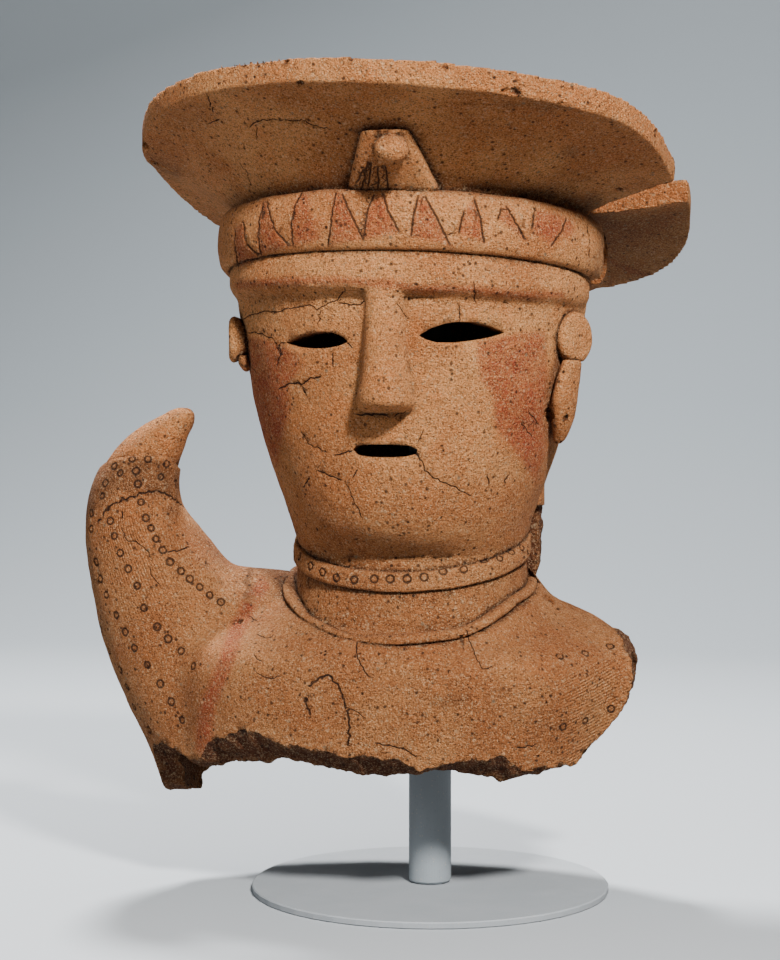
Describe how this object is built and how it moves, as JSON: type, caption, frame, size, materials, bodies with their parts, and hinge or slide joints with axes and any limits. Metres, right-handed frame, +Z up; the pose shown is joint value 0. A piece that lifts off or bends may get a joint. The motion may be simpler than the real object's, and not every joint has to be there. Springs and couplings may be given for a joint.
{
  "type": "haniwa figure",
  "caption": "Broken bust of a hollow low-fired clay figure with a flared hair board, slot eyes and one raised arm, held up by a post on a round foot.",
  "frame": {"origin": "centre of the foot's underside, under the post's axis, on the surface that the stand rests on", "axes": "+Z up along the post; the figure looks along -Y; +X is the figure's left, the viewer's right"},
  "size_m": [0.2739, 0.2305, 0.3537],
  "materials": {
    "low_fired_clay": "unglazed, matt and sandy, with traces of red pigment",
    "grey_paint": "matt grey paint"
  },
  "bodies": {
    "root": {"haniwa_figure": "low_fired_clay", "stand_post": "grey_paint", "stand_foot": "grey_paint"}
  },
  "joints": []
}
